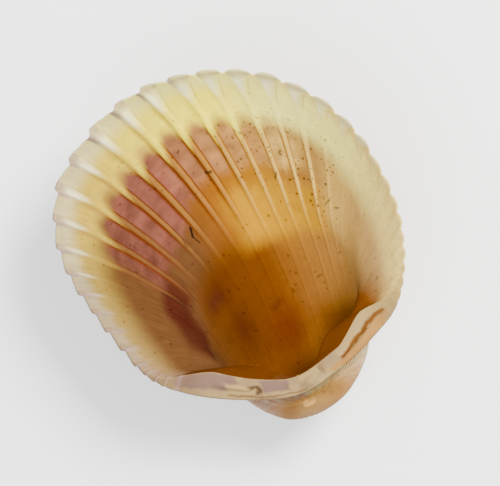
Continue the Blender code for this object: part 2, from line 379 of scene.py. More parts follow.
def outer_relief(phase, turns):
    """Height of the outside in shares of a rib's width: lobes at the edge, even ribs behind."""
    at_rim = near_edge(turns)
    lobe_height = LOBE_RELIEF * (rim_lobe(phase) - RIB_SUNK)
    even_height = RIB_RELIEF * (rib_outside(phase) - RIB_SUNK)
    return at_rim * lobe_height + (1.0 - at_rim) * even_height


def inner_relief(phase, turns):
    """Height of the hollow in shares of a rib's width: the ridges less the lobes it follows."""
    at_rim = near_edge(turns)
    strong = smooth_step(phase, *STRONG_FROM) * (1.0 - smooth_step(phase, *STRONG_TO))
    past_edge = smooth_step(turns, 0.0, RIM_FADE_FROM)
    relief = STRIP_RELIEF * (WEAK_RIDGE + (1.0 - WEAK_RIDGE) * strong) * (1.0 - at_rim)
    relief += CREST_RELIEF * at_rim * (CREST_AT_EDGE + (1.0 - CREST_AT_EDGE) * past_edge)
    lobe_height = LOBE_RELIEF * (rim_lobe(phase) - RIB_SUNK)
    followed = at_rim * FOLLOWED_LOBE * (lobe_height + LOBE_HELD * LOBE_RELIEF)
    ridge_fade = 1.0 - RIDGE_LOSS * smooth_step(turns, RIDGE_FADE_FROM, RIDGE_FADE_TO)
    return ridge_fade * (relief * inner_ridge(phase, turns) - followed)


def valve_grid():
    """Grid of the whole skin, with its rib and ridge phases, turn, place across and plate share.

    Outside and hollow are two horns on the same margin. Each is moved along its own normals by
    the ribs, ridges, growth steps and slow waves, and the rounded edge joins their first rows.
    """
    fraction, phase, width = rib_columns()
    outer_loop, inner_loop, on_plate = edge_loops(fraction)
    from_hinge = np.minimum(fraction, 1.0 - fraction)
    width = width * smooth_step(from_hinge, RIBS_FADE_FROM, RIBS_FADE_TO)

    outer_turns = BEAK_TURN * np.linspace(0.0, 1.0, OUTER_ROWS + 1) ** OUTER_CROWDING
    inner_turns = HOLLOW_TURN * np.linspace(0.0, 1.0, INNER_ROWS + 1) ** INNER_CROWDING
    inner_size = growth_scale(inner_turns)
    outer_size = growth_scale(outer_turns)
    outer_size *= 1.0 + WALL_GAIN * (1.0 - np.exp(-outer_turns / WALL_EASE))
    outer = horn(outer_loop, OUTSIDE_POLE, BEAK_POLE, outer_turns, outer_size)
    inner = horn(inner_loop, HOLLOW_POLE, HOLLOW_END_POLE, inner_turns, inner_size)
    outer_normal = outward_normals(outer)
    inner_normal = outward_normals(inner)

    back = outer_turns[:, None]
    uneven = OUTER_WAVES * unevenness(phase, back) - MM * growth_steps(phase, back)
    outer_move = width * outer_relief(phase, back)
    outer_move += uneven * smooth_step(back, 0.0, WAVES_BEGIN_OVER)
    outer += outer_normal * (outer_size[:, None] * outer_move)[:, :, None]

    back = inner_turns[:, None]
    uneven = INNER_WAVES * unevenness(phase + INNER_WAVES_PHASE, back)
    inner_move = width * inner_relief(phase, back) + uneven * (1.0 - near_edge(back))
    inner -= inner_normal * (inner_size[:, None] * inner_move)[:, :, None]

    crest = inner_ridge(phase, 0.0) * rib_size(phase)
    tooth = TOOTH_OF_RIDGE * crest + TOOTH_OF_LOBE * rim_lobe(phase) - TOOTH_SUNK
    for rows, turns in ((outer, outer_turns), (inner, inner_turns)):
        rows[:, :, 2] += np.exp(-turns / TOOTH_FADE)[:, None] * TOOTH_REACH * width * tooth

    across = np.arange(1, EDGE_ROWS)[:, None] / EDGE_ROWS
    edge = outer[0] + (inner[0] - outer[0]) * across[:, :, None]
    edge[:, :, 2] += EDGE_ROUNDING * EDGE_WIDTH * np.sin(np.pi * across)
    edge[:, :, 2] += hinge_relief(edge[:, :, 0], across) * on_plate

    rows = np.concatenate([outer[::-1], edge, inner])
    shape = rows.shape[:2]
    turn = np.concatenate([outer_turns[::-1], np.zeros(EDGE_ROWS - 1), inner_turns])
    across = np.concatenate([np.zeros(OUTER_ROWS + 1), across[:, 0], np.ones(INNER_ROWS + 1)])
    return rows, {
        "rib": np.broadcast_to(phase, shape),
        "ridge": np.broadcast_to(from_right_foot(phase), shape),
        "turn": np.broadcast_to(np.degrees(turn)[:, None], shape),
        "across": np.broadcast_to(across[:, None], shape),
        "plate": np.broadcast_to(on_plate, shape),
    }


def at_rest(points):
    """The points turned to how the valve lies, its box standing centred on the origin."""
    points = points @ np.array(REST_TILT).T
    low, high = points.min(axis=0), points.max(axis=0)
    return points - [0.5 * (low[0] + high[0]), 0.5 * (low[1] + high[1]), low[2]]


def skin_mesh(name, rows, values):
    """Closed mesh of quads from a grid of closed rings, each end drawn to one point."""
    row_count, column_count = rows.shape[:2]
    points = at_rest(np.vstack([rows.reshape(-1, 3), rows[0].mean(axis=0), rows[-1].mean(axis=0)]))
    corner = np.arange(row_count * column_count).reshape(row_count, column_count)
    right = np.roll(corner, -1, axis=1)
    quads = np.stack([corner[:-1], corner[1:], right[1:], right[:-1]], axis=2).reshape(-1, 4)
    first_end = np.full(column_count, row_count * column_count)
    first = np.stack([first_end, corner[0], right[0]], axis=1)
    last = np.stack([first_end + 1, right[-1], corner[-1]], axis=1)
    triangles = np.vstack([first, last])

    mesh = bpy.data.meshes.new(name)
    mesh.vertices.add(len(points))
    mesh.vertices.foreach_set("co", points.astype(np.float32).ravel())
    loops = np.concatenate([quads.ravel(), triangles.ravel()])
    mesh.loops.add(len(loops))
    mesh.loops.foreach_set("vertex_index", loops)
    sizes = np.concatenate([np.full(len(quads), 4), np.full(len(triangles), 3)])
    starts = np.concatenate([[0], np.cumsum(sizes)[:-1]])
    mesh.polygons.add(len(sizes))
    mesh.polygons.foreach_set("loop_start", starts)
    for key, grid in values.items():
        ends = [grid[0].mean(), grid[-1].mean()]
        attribute = mesh.attributes.new(key, "FLOAT", "POINT")
        attribute.data.foreach_set("value", np.append(grid.ravel(), ends).astype(np.float32))
    mesh.update(calc_edges=True)
    mesh.validate()
    face_row = np.repeat(np.arange(row_count - 1), column_count)
    outside = np.concatenate([face_row < OUTER_ROWS, np.arange(2 * column_count) < column_count])
    mesh.polygons.foreach_set("material_index", np.where(outside, 0, 1).astype(np.int32))
    mesh.shade_smooth()
    return mesh


def paint(red, green, blue):
    """A colour as seen on a screen, 0 to 255, made linear."""
    seen = np.array([red, green, blue]) / 255.0
    linear = np.where(seen < 0.04045, seen / 12.92, ((seen + 0.055) / 1.055) ** 2.4)
    return (*(float(v) for v in linear), 1.0)


class Wiring:
    """Adds nodes to one node tree. Each input is a number, a colour or another node's output."""

    def __init__(self, tree):
        self.tree = tree

    def feed(self, socket, value):
        if isinstance(value, bpy.types.NodeSocket):
            self.tree.links.new(value, socket)
        else:
            socket.default_value = value

    def add(self, kind, inputs=None, **settings):
        node = self.tree.nodes.new(kind)
        for key, value in settings.items():
            setattr(node, key, value)
        for key, value in (inputs or {}).items():
            self.feed(node.inputs[key], value)
        return node

    def maths(self, operation, first, second=0.0, clamp=False):
        return self.add("ShaderNodeMath", {0: first, 1: second}, operation=operation,
                        use_clamp=clamp).outputs[0]

    def times(self, *values):
        result = values[0]
        for value in values[1:]:
            result = self.maths("MULTIPLY", result, value)
        return result

    def shifted(self, value, by, amount):
        """value + by x amount."""
        return self.maths("ADD", value, self.times(by, amount))

    def less(self, value, other):
        return self.maths("SUBTRACT", value, other)

    def step(self, value, low, high):
        """0 at low, 1 at high, an even S between them; low may be the larger."""
        return self.add("ShaderNodeMapRange",
                        {"Value": value, "From Min": low, "From Max": high},
                        interpolation_type="SMOOTHSTEP").outputs["Result"]

    def between(self, value, rise, fall):
        """0 to 1 from the first to the last value of the rise, and back to 0 over the fall."""
        return self.times(self.step(value, *rise), self.step(value, *fall))

    def mix(self, share, under, over, blend="MIX"):
        return self.add("ShaderNodeMix", {0: share, 6: under, 7: over}, data_type="RGBA",
                        blend_type=blend).outputs[2]

    def coated(self, colour, *coats):
        """The colour with each coat, a mask, a strength and a tone, mixed over it in turn."""
        for mask, strength, tone in coats:
            colour = self.mix(self.times(mask, strength), colour, tone)
        return colour

    def shaded(self, colour, lightness):
        """The colour times a number."""
        grey = self.place(lightness, lightness, lightness)
        return self.mix(1.0, colour, grey, "MULTIPLY")

    def tones(self, rib, stops):
        """Colours round the margin, from a list of (rib, colour)."""
        node = self.add("ShaderNodeValToRGB", {0: self.maths("DIVIDE", rib, RIBS)})
        elements = node.color_ramp.elements
        elements.remove(elements[1])
        for number, (place, colour) in enumerate(stops):
            element = elements[0] if number == 0 else elements.new(place / RIBS)
            element.position = place / RIBS
            element.color = colour
        return node.outputs["Color"]

    def curve(self, rib, points, most=1.0):
        """Numbers round the margin, from a list of (rib, number up to the most)."""
        node = self.add("ShaderNodeFloatCurve", {"Value": self.maths("DIVIDE", rib, RIBS)})
        line = node.mapping.curves[0]
        while len(line.points) < len(points):
            line.points.new(0.5, 0.5)
        for point, (place, number) in zip(line.points, points):
            point.location = (place / RIBS, number / most)
        node.mapping.update()
        return self.times(node.outputs["Value"], most)

    def noise(self, vector, scale, detail=2.0, roughness=0.5, distortion=0.0):
        return self.add("ShaderNodeTexNoise",
                        {"Vector": vector, "Scale": scale, "Detail": detail,
                         "Roughness": roughness, "Distortion": distortion}).outputs["Fac"]

    def wander(self, vector, scale):
        """Three-layered noise about 0."""
        return self.less(self.noise(vector, scale, 3.0, 0.6), 0.5)

    def attribute(self, name):
        return self.add("ShaderNodeAttribute", attribute_name=name).outputs["Fac"]

    def place(self, x, y, z=0.0):
        return self.add("ShaderNodeCombineXYZ", {0: x, 1: y, 2: z}).outputs[0]

    def effect(self, group, **inputs):
        node = self.add("ShaderNodeGroup", node_tree=group)
        for key, value in inputs.items():
            self.feed(node.inputs[key.replace("_", " ")], value)
        return node.outputs


def effect_group(name, inputs, outputs):
    """An empty shader node group; returns it with its wiring, its inputs and its output node."""
    tree = bpy.data.node_groups.new(name, "ShaderNodeTree")
    for socket, kind in inputs.items():
        tree.interface.new_socket(socket, in_out="INPUT", socket_type=kind)
    for socket, kind in outputs.items():
        tree.interface.new_socket(socket, in_out="OUTPUT", socket_type=kind)
    wiring = Wiring(tree)
    entry = wiring.add("NodeGroupInput").outputs
    leave = wiring.add("NodeGroupOutput").inputs
    return tree, wiring, entry, leave


FLOAT = "NodeSocketFloat"
VECTOR = "NodeSocketVector"

# Sand specks, in shares of a cell: the least radius, how much more the largest has, how ragged
# and how soft the edge is. A rib counts as this many degrees in a dark stroke's length.
SPECK_LEAST = 0.12
SPECK_GROWS = 0.42
SPECK_RAGGED = 0.3
SPECK_SOFT = 0.14
RIB_IN_DEGREES = 9.0


def stain_and_shade_patch_group():
    """Soft-edged patch between two ribs and two turns: the product of four S steps."""
    tree, w, entry, leave = effect_group(
        "stain_and_shade_patch", {"Rib": FLOAT, "Turn": FLOAT, "Rib From": FLOAT, "Rib To": FLOAT,
                        "Turn From": FLOAT, "Turn To": FLOAT, "Rib Blur": FLOAT,
                        "Turn Blur": FLOAT}, {"Mask": FLOAT})
    sides = []
    for axis in ("Rib", "Turn"):
        blur = entry[axis + " Blur"]
        low, high = entry[axis + " From"], entry[axis + " To"]
        sides.append(w.step(entry[axis], w.less(low, blur), w.maths("ADD", low, blur)))
        sides.append(w.step(entry[axis], w.maths("ADD", high, blur), w.less(high, blur)))
    w.feed(leave["Mask"], w.times(*sides))
    return tree


def growth_thread_group():
    """Fine threads along the growth edge: noise drawn out round the margin, thin across it."""
    tree, w, entry, leave = effect_group(
        "growth_threads", {"Rib": FLOAT, "Turn": FLOAT, "Threads": FLOAT},
        {"Height": FLOAT})
    spot = w.place(w.times(entry["Rib"], 0.7), w.times(entry["Turn"], entry["Threads"]))
    w.feed(leave["Height"], w.noise(spot, 1.0, 3.0, 0.55, 0.3))
    return tree


def shell_noise_group():
    """Slow and fine noises about 0, which make borders waver and colours mottled."""
    tree, w, entry, leave = effect_group(
        "shell_noise", {"Vector": VECTOR, "Slow Scale": FLOAT, "Fine Scale": FLOAT},
        {"Slow": FLOAT, "Fine": FLOAT})
    for pace in ("Slow", "Fine"):
        w.feed(leave[pace], w.wander(entry["Vector"], entry[pace + " Scale"]))
    return tree


def sand_speck_group():
    """Small dark specks: cells of a cell noise whose distance is under a varying size."""
    tree, w, entry, leave = effect_group(
        "sand_specks", {"Vector": VECTOR, "Cells": FLOAT, "Share": FLOAT}, {"Mask": FLOAT})
    cells = w.add("ShaderNodeTexVoronoi", {"Vector": entry["Vector"], "Scale": entry["Cells"],
                                           "Randomness": 1.0})
    pick = w.add("ShaderNodeSeparateColor", {0: cells.outputs["Color"]}).outputs
    grown = w.step(pick[0], w.less(1.0, entry["Share"]), 1.0)
    size = w.shifted(SPECK_LEAST, grown, SPECK_GROWS)
    ragged = w.noise(entry["Vector"], w.times(entry["Cells"], 3.0))
    distance = w.shifted(cells.outputs["Distance"], ragged, SPECK_RAGGED)
    w.feed(leave["Mask"], w.step(distance, size, w.less(size, SPECK_SOFT)))
    return tree


def mark_stroke_group():
    """A short dark stroke: near the line between two points in turns and stretched-out ribs.

    The spot's distance from its nearest point on the line is compared with the half width.
    """
    tree, w, entry, leave = effect_group(
        "mark_stroke", {"Rib": FLOAT, "Turn": FLOAT, "Rib From": FLOAT, "Turn From": FLOAT,
                        "Rib To": FLOAT, "Turn To": FLOAT, "Half Width": FLOAT}, {"Mask": FLOAT})

    def vector(operation, first, second, output="Vector"):
        return w.add("ShaderNodeVectorMath", {0: first, 1: second},
                     operation=operation).outputs[output]

    here, start, end = (w.place(w.times(entry["Rib" + which], RIB_IN_DEGREES),
                                entry["Turn" + which]) for which in ("", " From", " To"))
    line = vector("SUBTRACT", end, start)
    from_start = vector("SUBTRACT", here, start)
    share = w.maths("DIVIDE", vector("DOT_PRODUCT", from_start, line, "Value"),
                    vector("DOT_PRODUCT", line, line, "Value"), clamp=True)
    nearest = vector("MULTIPLY", line, w.place(share, share))
    distance = vector("DISTANCE", from_start, nearest, "Value")
    w.feed(leave["Mask"], w.step(distance, entry["Half Width"],
                                 w.times(entry["Half Width"], 0.4)))
    return tree


STAIN_AND_SHADE_PATCH = stain_and_shade_patch_group()
MARK_STROKE = mark_stroke_group()
GROWTH_THREADS = growth_thread_group()
SHELL_NOISE = shell_noise_group()
SAND_SPECKS = sand_speck_group()


def start_material(name, specular):
    material = bpy.data.materials.new(name)
    material.use_nodes = True
    shader = material.node_tree.nodes["Principled BSDF"]
    shader.inputs["Specular IOR Level"].default_value = specular
    return material, shader, Wiring(material.node_tree)


def floor_material():
    material, shader, _ = start_material("floor_pale", 0.3)
    shader.inputs["Base Color"].default_value = paint(238, 238, 236)
    shader.inputs["Roughness"].default_value = 0.8
    return material


# The paints. Each was matched to a part of the shell by comparing colours, and then rounded. Deep
# tones hold almost no blue, or they come out pink.
IVORY = paint(252, 248, 205)
PALE_LEMON = paint(252, 242, 125)
LEMON = paint(250, 230, 40)
OLIVE = paint(168, 142, 42)
MOSS = paint(128, 106, 42)
CREAM = paint(208, 180, 100)
STRAW = paint(212, 174, 84)
PALE_SAND = paint(188, 172, 118)
SAND = paint(145, 115, 70)
STONE = paint(136, 120, 90)
TAN = paint(165, 128, 66)
ROSE_TAN = paint(160, 115, 58)
HONEY = paint(140, 95, 40)
GOLD = paint(138, 90, 12)
AMBER = paint(160, 114, 8)
OCHRE = paint(115, 66, 10)
CHESTNUT = paint(90, 58, 30)
UMBER = paint(84, 43, 4)
DARK_UMBER = paint(65, 31, 2)
DRAB = paint(72, 46, 24)
DUN = paint(102, 75, 56)
MAUVE = paint(104, 60, 47)
DARK_MAUVE = paint(78, 44, 34)
MAROON = paint(52, 20, 12)
RUST = paint(74, 28, 2)
BONE = paint(138, 115, 72)
OLD_BONE = paint(118, 96, 66)
LILAC_BONE = paint(94, 72, 64)
PALE_GREY = paint(188, 178, 148)
LILAC_GREY = paint(136, 112, 102)
BUFF = paint(188, 170, 120)
CHALK = paint(196, 174, 140)
CLAY = paint(154, 112, 92)
PALE_ROSE = paint(178, 154, 132)
BROWN = paint(118, 84, 42)
SOOT = paint(32, 18, 12)
DUST_SHADE = paint(120, 92, 72)

# Colours of the hollow round the margin, each list as (rib, colour): the rim, the band behind it,
# the middle, the bars between the ridges, the ridges, the depth, and the painted shade on the ends
# of the lobes.
RIM_TONES = [(0, CHESTNUT), (6, CREAM), (12, CREAM), (18, PALE_LEMON), (23, PALE_SAND),
             (28, STONE), (36, DUN)]
BAND_TONES = [(0, CHESTNUT), (9, CREAM), (16, PALE_LEMON), (18.5, LEMON), (23, OLIVE),
              (27, MOSS), (36, DUN)]
MIDDLE_TONES = [(0, UMBER), (6, SAND), (12, TAN), (15.5, HONEY), (18, GOLD),
                (20.5, OCHRE), (23, DRAB)]
BAR_TONES = [(15, STRAW), (17.5, ROSE_TAN), (22, MAUVE), (25, DARK_MAUVE)]
RIDGE_TONES = [(16, STRAW), (20, HONEY), (24.5, CHESTNUT)]
DEEP_TONES = [(0, UMBER), (6, UMBER), (10, BROWN), (13.5, HONEY), (20, UMBER),
              (23, DARK_UMBER), (30, DRAB)]
LOBE_SHADE_TONES = [(12, PALE_GREY), (20, LILAC_GREY), (36, DUN)]

# Where the band ends and where the depth begins, in degrees by rib, and how soft each of them is.
# Each list is drawn as a curve, in shares of a value past its largest.
BAND_END = [
    (0, 1), (1, 2), (2, 7), (4, 14), (6, 17), (9, 19.5), (12, 21.5),
    (14, 19), (16, 16.5), (19, 14.5), (22, 13), (25, 13), (27, 13.5),
    (31, 14), (33, 15), (36, 8)]
MOST_BAND_END = 30.0
BAND_BLUR = [
    (0, 2), (3, 6), (9, 7.5), (13, 5.5), (16, 3.4), (19, 2.6), (24, 2.6),
    (26, 5), (30, 7.5), (36, 5)]
MOST_BAND_BLUR = 10.0
DEPTH_FROM = [
    (0, 1), (2, 10), (4, 20), (6, 29), (8, 38), (11, 47), (13.5, 50),
    (16, 48), (18, 46), (21, 42), (24, 43), (27, 52), (31, 48),
    (36, 34)]
MOST_DEPTH_FROM = 100.0
DEPTH_BLUR = [
    (0, 3), (2, 7), (4, 12), (7, 16), (11, 24), (13.5, 22), (16, 16),
    (18, 10), (21, 5), (24, 6), (29, 10), (36, 12)]
MOST_DEPTH_BLUR = 30.0

# Stains of the hollow: colour, first and last rib, first and last turn, the two blurs, strength.
HOLLOW_STAINS = [
    (AMBER, (14.5, 20.5), (32, 45), (1, 3.5), 0.85),
    (STRAW, (12.5, 14.5), (20, 42), (0.8, 5), 0.4),
    (DARK_MAUVE, (24, 26), (27, 33), (0.6, 3), 0.85),
    (MAROON, (25, 28.5), (32, 43), (0.8, 3), 0.9),
    (MAROON, (26.5, 31), (33, 53), (1, 4), 0.85),
    (MAROON, (23, 24.5), (47.5, 53), (0.6, 3), 0.75),
    (UMBER, (11.5, 18), (69, 140), (1.6, 7), 0.85),
    (UMBER, (21, 30), (78, 140), (2, 7), 0.7),
    (RUST, (19, 21.5), (65, 81), (1.1, 6), 0.75),
    (MAROON, (20, 21), (61, 63), (0.5, 2), 0.6),
    (MAROON, (22.5, 23.5), (60, 68), (0.6, 4), 0.55),
]
SANDY = ((13.2, 19), (15, 40), (1.2, 4))

# Small dark marks of the hollow: rib and turn of both ends, half width in degrees, strength.
HOLLOW_MARKS = [
    (22.42, 32.6, 22.60, 34.3, 0.60, 1), (22.60, 34.3, 22.54, 36.4, 0.32, 0.95),
    (20.12, 25.6, 20.42, 25.3, 0.45, 0.7), (17.00, 29.4, 17.20, 30.6, 0.60, 0.6),
    (20.75, 18.6, 20.86, 18.8, 0.35, 0.6), (17.90, 19.3, 18.15, 18.7, 0.30, 0.6),
    (13.25, 33.2, 13.65, 34.3, 0.35, 0.6), (13.95, 32.6, 14.40, 35.4, 0.35, 0.55),
    (13.60, 48.4, 13.95, 49.8, 0.35, 0.5), (16.40, 23.8, 16.55, 24.6, 0.50, 0.6),
    (23.02, 33, 23.14, 34.6, 0.35, 0.5), (19.10, 21, 19.20, 24.5, 0.35, 0.5),
    (26.35, 32, 26.20, 43, 1.2, 0.4), (16.20, 58.2, 16.80, 59.2, 0.45, 0.4),
]

# Ribs and turns between which a marking of the hollow comes in and goes out.
ROUNDED_RIBS = ((15, 18.5), (27.5, 25))
BAR_RIBS = ((14.6, 16.4), (26.6, 25.4))
RIDGE_RIBS = ((13, 15), (27.5, 25.5))
RIDGE_TURNS = ((9, 15), (46, 26))
LINE_RIBS = ((17.5, 20.5), (27, 25))
LINE_TURNS = ((11, 15), (44, 26))
WHITE_RIBS = ((11, 16), (30, 24))
WHITE_TURNS = ((0.5, 4), (12, 4))
CREASE_TURNS = ((1, 5), (13, 8))
BROWN_RIBS = ((18, 21), (27, 25))
SHELF_TURNS = ((0.6, 3), (75, 45))

# Stains of the hinge plate, and three patches of painted shade and shadow: colour, first and last X
# in mm, first and last place across, strength.
PLATE_STAINS_AND_SHADE = [
    (LILAC_BONE, (-17, -8.5), (0.35, 1), 0.85),
    (BONE, (7.5, 17), (0.60, 1), 0.9),
    (UMBER, (8, 16), (0.38, 0.58), 0.9),
    (HONEY, (5, 16), (0.02, 0.36), 0.75),
    (BONE, (-10.5, -6.5), (0.30, 0.70), 0.9),
    # Painted shadow: a dark strip in the notch at the end of the left lateral tooth.
    (SOOT, (-6.5, -5.7), (0.30, 0.74), 0.9),
    # Painted shade: a lilac-grey patch beyond that notch.
    (LILAC_BONE, (-5.5, -1.5), (0.40, 1), 0.9),
    # Painted shadow: a thin dark line along the plate's outer side, for the gap between two valves.
    (DRAB, (-11, 1.5), (0.13, 0.22), 0.8),
    (BONE, (0.5, 4), (0.55, 1), 0.8),
    (DRAB, (4, 4.5), (0.30, 0.95), 0.6),
]
PLATE_BLURS = (0.5, 0.07)

# Colours of the outside round the margin: rib crests, their worn bands, the margin, the grooves.
CREST_TONES = [(0, BUFF), (14, CHALK), (30, PALE_ROSE)]
WORN_TONES = [(0, TAN), (18, CLAY)]
MARGIN_TONES = [(0, SAND), (20, LILAC_GREY)]
GROOVE_TONES = [(0, BROWN), (20, MAUVE)]
BEADS_PER_DEGREE = 0.8

# Full height of each bump, which is drawn as shading alone.
HOLLOW_BUMP = 0.12 * MM
OUTSIDE_BUMP = 0.2 * MM


def patch(w, rib, turn, rib_span, turn_span, blurs):
    """Mask of a soft-edged patch between two ribs and two turns."""
    return w.effect(STAIN_AND_SHADE_PATCH, Rib=rib, Turn=turn, Rib_From=rib_span[0], Rib_To=rib_span[1],
                    Turn_From=turn_span[0], Turn_To=turn_span[1], Rib_Blur=blurs[0],
                    Turn_Blur=blurs[1])["Mask"]


def add_bump(w, shader, strength, distance, height):
    bump = w.add("ShaderNodeBump", {"Strength": strength, "Distance": distance, "Height": height})
    w.feed(shader.inputs["Normal"], bump.outputs[0])


def hollow_places(w):
    """What the layers of the hollow share: places on the shell, noises and the ridges' masks.

    Between two ridges' right feet, part runs from 0 to 1. The left foot is at 1 - width, where
    width goes from the edge's to the deep one's as exp of minus the turn.
    """
    at = SimpleNamespace(rib=w.attribute("rib"), turn=w.attribute("turn"))
    at.spot = w.add("ShaderNodeTexCoord").outputs["Object"]
    noise = w.effect(SHELL_NOISE, Vector=at.spot, Slow_Scale=180.0, Fine_Scale=700.0)
    at.slow, at.fine = noise["Slow"], noise["Fine"]
    at.streak = w.wander(w.place(w.times(at.rib, 5.0), w.times(at.turn, 0.10)), 1.0)
    at.wavering_turn = w.shifted(at.turn, at.slow, 7.0)
    at.ragged_turn = w.shifted(at.wavering_turn, at.streak, 5.0)

    at.part = w.maths("FRACT", w.shifted(w.attribute("ridge"), at.fine, 0.05))
    at_edge = w.maths("EXPONENT", w.times(at.turn, -1.0 / RIDGE_NARROWS_OVER))
    width = w.shifted(DEEP_RIDGE, w.less(w.curve(at.rib, RIM_RIDGE), DEEP_RIDGE), at_edge)
    at.left_foot = w.less(1.0, width)
    at.past_left = w.less(at.part, at.left_foot)
    at.ridge = w.times(w.step(at.past_left, -0.01, 0.06), w.step(at.part, 1.0, 0.95))
    at.flute = w.times(w.step(at.part, 0.02, 0.09), w.step(at.past_left, 0.01, -0.06))
    # Masks of a thin line at each ridge's left and right foot, painted dark as shade of the steep
    # flanks and partly as pigment.
    off_foot = w.maths("ABSOLUTE", w.maths("ADD", at.past_left, 0.015))
    at.left_line = w.step(off_foot, 0.055, 0.0)
    at.right_line = w.maths("MAXIMUM", w.step(at.part, 0.19, 0.0), w.step(at.part, 0.91, 0.99))
    return at


def band_end(w, at):
    """Degrees past the end of the rim and band, and a mask that is 1 beyond it.

    Where the bars are, the end bulges by the square of the distance from the flute's middle.
    """
    blur = w.curve(at.rib, BAND_BLUR, MOST_BAND_BLUR)
    past_middle = w.less(at.part, w.times(at.left_foot, 0.5))
    bulge = w.times(past_middle, past_middle, 15.0, w.between(at.rib, *ROUNDED_RIBS))
    past = w.less(w.shifted(at.turn, at.slow, 3.0), w.curve(at.rib, BAND_END, MOST_BAND_END))
    past = w.less(w.shifted(past, at.streak, blur), bulge)
    return past, w.step(past, w.times(blur, -1.0), blur)


def middle_and_depth(w, at):
    """The middle's colours, the deep ones past a wavering border, and the stains on both."""
    blur = w.curve(at.rib, DEPTH_BLUR, MOST_DEPTH_BLUR)
    past = w.less(at.wavering_turn, w.curve(at.rib, DEPTH_FROM, MOST_DEPTH_FROM))
    colour = w.mix(w.step(past, w.times(blur, -1.0), blur), w.tones(at.rib, MIDDLE_TONES),
                   w.tones(at.rib, DEEP_TONES))
    for tone, ribs, turns, blurs, strength in HOLLOW_STAINS:
        mask = patch(w, at.rib, at.ragged_turn, ribs, turns, blurs)
        colour = w.coated(colour, (mask, strength, tone))
    return colour


def bars_and_ridges(w, at, past_band, colour):
    """Mauve bars in the flutes behind the band, pale ridges between them, and a dark rust-coloured
    line at the feet of each ridge, part pigment and part painted shade.
    """
    reach = w.shifted(at.ragged_turn, w.step(at.rib, 21.0, 24.0), -6.0)
    bar = w.times(w.step(past_band, -3.2, -0.6), w.step(reach, 29.5, 25.0),
                  w.between(at.rib, *BAR_RIBS))
    banded = w.less(w.noise(w.place(w.times(at.rib, 0.9), w.times(at.turn, 0.34)), 1.0), 0.5)
    bar_tone = w.shaded(w.tones(at.rib, BAR_TONES), w.shifted(1.0, banded, 1.4))
    ridge = w.times(at.ridge, w.between(at.turn, *RIDGE_TURNS), w.between(at.rib, *RIDGE_RIBS))
    # A dark line along the ridges' feet: part pigment and part painted shade of the steep flanks.
    foot_tint_and_shade = w.maths("MAXIMUM", w.times(at.right_line, 0.85), w.times(at.left_line, 0.7))
    lined = w.times(w.between(at.turn, *LINE_TURNS), w.between(at.rib, *LINE_RIBS))
    return w.coated(colour, (bar, at.flute, bar_tone), (ridge, 0.9, w.tones(at.rib, RIDGE_TONES)),
                    (foot_tint_and_shade, lined, RUST))


def rim_and_band(w, at):
    """The cream rim and the lemon band, with pale ridge tops partly painted highlight, and grey
    lobe ends, grey falling flanks and dark ridge feet as painted shade, the right feet partly
    pigment.
    """
    lemon = w.step(w.shifted(at.turn, at.ridge, -2.0), 3.0, 8.5)
    colour = w.mix(lemon, w.tones(at.rib, RIM_TONES), w.tones(at.rib, BAND_TONES))
    # Pale ridge tops near the rim: partly their own pale colour and partly painted highlight where
    # they face the light.
    pale_and_highlight = w.times(at.ridge, w.between(at.turn, *WHITE_TURNS), w.step(at.past_left, 0.0, 0.28),
                    w.step(at.part, 0.97, 0.84), w.between(at.rib, *WHITE_RIBS))
    # Grey ends of the lobes at the outline: painted shade.
    lobe_end_shade = w.times(at.ridge, w.step(w.shifted(at.turn, at.slow, 4.0), 4.2, 0.4),
                       w.step(at.rib, 9.0, 13.0))
    # Grey on each ridge's steep falling flank near the rim: painted shade, with a slight mauve
    # tint.
    grey = w.times(w.step(at.part, 0.74, 0.94), w.step(at.turn, 8.0, 1.0),
                   w.step(at.rib, 17.0, 20.0))
    # A dark line at each ridge's left foot near the rim: painted shade.
    crease_shade = w.times(at.left_line, w.between(at.turn, *CREASE_TURNS), w.step(at.rib, 8.0, 12.0))
    # A dark line at each ridge's right foot behind the rim: part pigment and part painted shade.
    brown_tint_and_shade = w.times(at.right_line, w.step(at.turn, 4.0, 11.0), w.between(at.rib, *BROWN_RIBS))
    return w.coated(colour, (pale_and_highlight, 0.65, IVORY), (lobe_end_shade, 0.6, w.tones(at.rib, LOBE_SHADE_TONES)),
                    (grey, 0.7, LILAC_GREY), (crease_shade, 0.35, SAND), (brown_tint_and_shade, 0.6, BROWN))


def sand_and_marks(w, at, colour):
    """Sand in a patch, fine dust behind the rim, dark strokes and a slight mottle."""
    along_bars = w.less(w.times(at.turn, 1.1), w.times(at.rib, 2.2))
    grain_spot = w.place(w.times(at.rib, 2.4), along_bars)
    grains = w.effect(SAND_SPECKS, Vector=grain_spot, Cells=1.5, Share=0.42)["Mask"]
    sandy = patch(w, at.rib, at.turn, *SANDY)
    colour = w.coated(colour, (w.times(grains, sandy), 0.6, CHESTNUT))
    dust = w.effect(SAND_SPECKS, Vector=at.spot, Cells=1300.0,
                    Share=w.shifted(0.24, sandy, 0.36))["Mask"]
    dusty = w.times(w.step(at.turn, 2.0, 12.0), w.shifted(0.4, sandy, 0.35))
    colour = w.mix(w.times(dust, dusty), colour, DUST_SHADE, "MULTIPLY")
    mark_turn = w.shifted(at.turn, at.fine, 1.2)
    for rib_from, turn_from, rib_to, turn_to, half_width, strength in HOLLOW_MARKS:
        mark = w.effect(MARK_STROKE, Rib=at.rib, Turn=mark_turn, Rib_From=rib_from,
                        Turn_From=turn_from, Rib_To=rib_to, Turn_To=turn_to,
                        Half_Width=half_width)["Mask"]
        colour = w.coated(colour, (mark, strength, SOOT))
    streaky = w.times(at.streak, w.shifted(0.25, w.step(at.rib, 22.0, 26.0), 0.5))
    return w.shaded(colour, w.maths("ADD", w.shifted(1.0, at.fine, 0.34), streaky))


